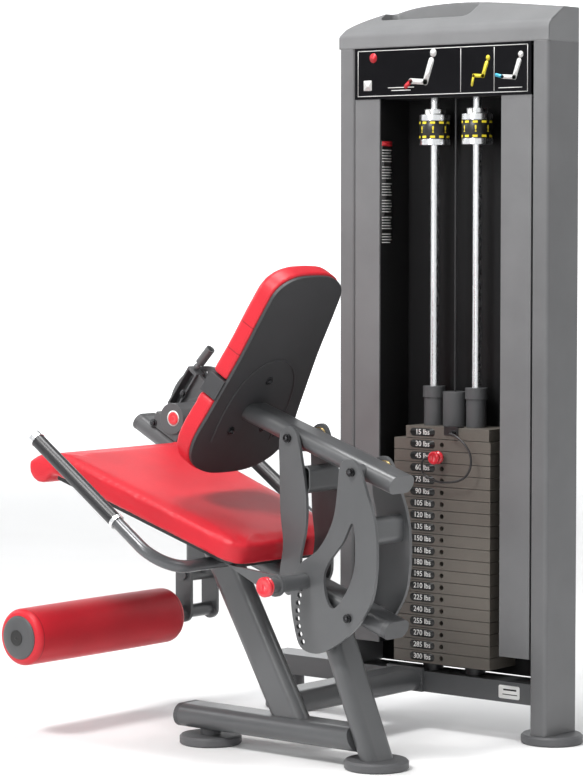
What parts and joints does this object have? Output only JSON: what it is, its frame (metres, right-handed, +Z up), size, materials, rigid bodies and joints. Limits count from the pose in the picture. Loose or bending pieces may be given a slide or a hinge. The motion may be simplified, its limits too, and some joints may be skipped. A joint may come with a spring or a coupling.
{
  "type": "leg extension machine",
  "caption": "Selectorised leg extension machine: sloped seat with sliding back pad on two links, knee-axis arm with shin roller, and a cable-driven weight stack in a tower.",
  "frame": {"origin": "on the floor at the middle of the rear foot of the seat frame", "axes": "+Z up; the user on the seat faces -Y; the weight tower stands at -X, at the user's right-hand side"},
  "size_m": [0.824, 1.0495, 1.5529],
  "materials": {
    "frame_grey": "satin powder coat",
    "cap_grey": "satin",
    "cap_plastic": "matte",
    "foot_rubber": "matte",
    "bush_brass": "brushed",
    "shell_black": "fine grain",
    "red_upholstery": "satin vinyl",
    "tube_silver": "metallic",
    "grip_rubber": "matte",
    "chrome": "polished",
    "dark_steel": "satin",
    "placard_print": "printed",
    "plate_iron": "painted",
    "cable_black": "nylon coated",
    "bright_steel": "brushed",
    "knob_red": "gloss",
    "pulley_nylon": "nylon"
  },
  "bodies": {
    "frame": {"feet": "foot_rubber", "floor_tube": "frame_grey", "front_post": "frame_grey", "rear_post": "frame_grey", "tie_tube": "frame_grey", "main_tube": "frame_grey", "frame_end_caps": "cap_plastic", "knee_tube": "frame_grey", "knee_bracket": "frame_grey", "knee_bushes": "bush_brass", "seat_board": "shell_black", "seat_pad": "red_upholstery", "handle_tubes": "tube_silver", "handle_grips": "grip_rubber", "handle_ends": "chrome", "pin_bracket": "frame_grey", "lower_pins": "dark_steel", "tower_base": "frame_grey", "tower_columns": "frame_grey", "tower_panels": "frame_grey", "tower_back": "dark_steel", "tower_cap": "cap_grey", "placard": "placard_print", "rod_bracket": "dark_steel", "guide_rods": "chrome", "stack_bumpers": "grip_rubber", "weight_plates": "plate_iron", "drive_cable": "cable_black"},
    "lifted_stack": {"head_plate": "plate_iron", "lifted_plates": "plate_iron", "selector_stem": "bright_steel", "guide_sleeves": "shell_black", "cable_anchor": "dark_steel", "lanyard_bracket": "dark_steel", "pin_lanyard": "cable_black"},
    "selector": {"selector_pin": "knob_red"},
    "addon_front": {"addon_weight_front": "bright_steel"},
    "addon_rear": {"addon_weight_rear": "bright_steel"},
    "pulley_mid": {"top_pulley_mid": "pulley_nylon"},
    "pulley_front": {"top_pulley_front": "pulley_nylon"},
    "pulley_low": {"low_pulley": "pulley_nylon"},
    "drum": {"knee_shaft": "bright_steel", "start_disc": "frame_grey", "cable_drum": "pulley_nylon"},
    "arm": {"movement_arm": "frame_grey", "start_lever": "dark_steel"},
    "trigger": {"pull_grip": "grip_rubber"},
    "shin": {"shin_lever": "frame_grey"},
    "roller": {"roller_pad": "red_upholstery", "roller_caps": "cap_plastic"},
    "link_front": {"front_link": "frame_grey"},
    "link_rear": {"rear_link": "frame_grey"},
    "back": {"carriage_tube": "frame_grey", "upper_pins": "dark_steel", "pivot_washers": "bush_brass", "back_shell": "shell_black", "back_pad": "red_upholstery"},
    "adjuster": {"adjuster_pin": "knob_red"}
  },
  "joints": [
    {"name": "knee_turn", "type": "hinge", "parent": "frame", "child": "drum", "pos_m": [-0.34, -0.757, 0.652], "axis": [-1, 0, 0], "range_deg": [0, 100]},
    {"name": "arm_start", "type": "hinge", "parent": "drum", "child": "arm", "pos_m": [-0.328, -0.757, 0.652], "axis": [-1, 0, 0], "range_deg": [-24, 0]},
    {"name": "trigger_pull", "type": "hinge", "parent": "arm", "child": "trigger", "pos_m": [-0.328, -0.767, 0.763], "axis": [-1, 0, 0], "range_deg": [0, 12], "stiffness_Nm_per_rad": 2},
    {"name": "shin_pivot", "type": "hinge", "parent": "arm", "child": "shin", "pos_m": [-0.315, -0.757, 0.303], "axis": [-1, 0, 0], "range_deg": [-40, 40]},
    {"name": "roller_spin", "type": "hinge", "parent": "shin", "child": "roller", "pos_m": [0, -0.757, 0.219], "axis": [-1, 0, 0], "continuous": true},
    {"name": "stack_lift", "type": "slide", "parent": "frame", "child": "lifted_stack", "axis": [0, 0, 1], "range_m": [0, 0.14]},
    {"name": "pin_pull", "type": "slide", "parent": "lifted_stack", "child": "selector", "axis": [1, 0, 0], "range_m": [0, 0.045]},
    {"name": "addon_front_drop", "type": "slide", "parent": "frame", "child": "addon_front", "axis": [0, 0, 1], "range_m": [-0.36, 0]},
    {"name": "addon_rear_drop", "type": "slide", "parent": "frame", "child": "addon_rear", "axis": [0, 0, 1], "range_m": [-0.36, 0]},
    {"name": "top_mid_spin", "type": "hinge", "parent": "frame", "child": "pulley_mid", "pos_m": [-0.464, -0.19, 1.4], "axis": [-1, 0, 0], "range_deg": [-210, 10]},
    {"name": "top_front_spin", "type": "hinge", "parent": "frame", "child": "pulley_front", "pos_m": [-0.464, -0.284, 1.4], "axis": [-1, 0, 0], "range_deg": [-210, 10]},
    {"name": "low_spin", "type": "hinge", "parent": "frame", "child": "pulley_low", "pos_m": [-0.464, -0.35, 0.605], "axis": [-1, 0, 0], "range_deg": [-10, 290]},
    {"name": "back_swing", "type": "hinge", "parent": "frame", "child": "link_front", "pos_m": [0, -0.19239, 0.36435], "axis": [-1, 0, 0], "range_deg": [0, 49]},
    {"name": "rear_swing", "type": "hinge", "parent": "frame", "child": "link_rear", "pos_m": [0, -0.02, 0.306], "axis": [-1, 0, 0], "range_deg": [0, 49]},
    {"name": "back_level", "type": "hinge", "parent": "link_front", "child": "back", "pos_m": [0, -0.18439, 0.65424], "axis": [-1, 0, 0], "range_deg": [-49, 0]},
    {"name": "adjuster_pull", "type": "slide", "parent": "frame", "child": "adjuster", "axis": [1, 0, 0], "range_m": [0, 0.02], "stiffness_N_per_m": 300}
  ],
  "couplings": [
    {"joint": "stack_lift", "follows": "knee_turn", "m_per_rad": 0.075},
    {"joint": "top_mid_spin", "follows": "knee_turn", "ratio": -1.9737},
    {"joint": "top_front_spin", "follows": "knee_turn", "ratio": -1.9737},
    {"joint": "low_spin", "follows": "knee_turn", "ratio": 2.6786},
    {"joint": "rear_swing", "follows": "back_swing", "ratio": 1},
    {"joint": "back_level", "follows": "back_swing", "ratio": -1}
  ]
}
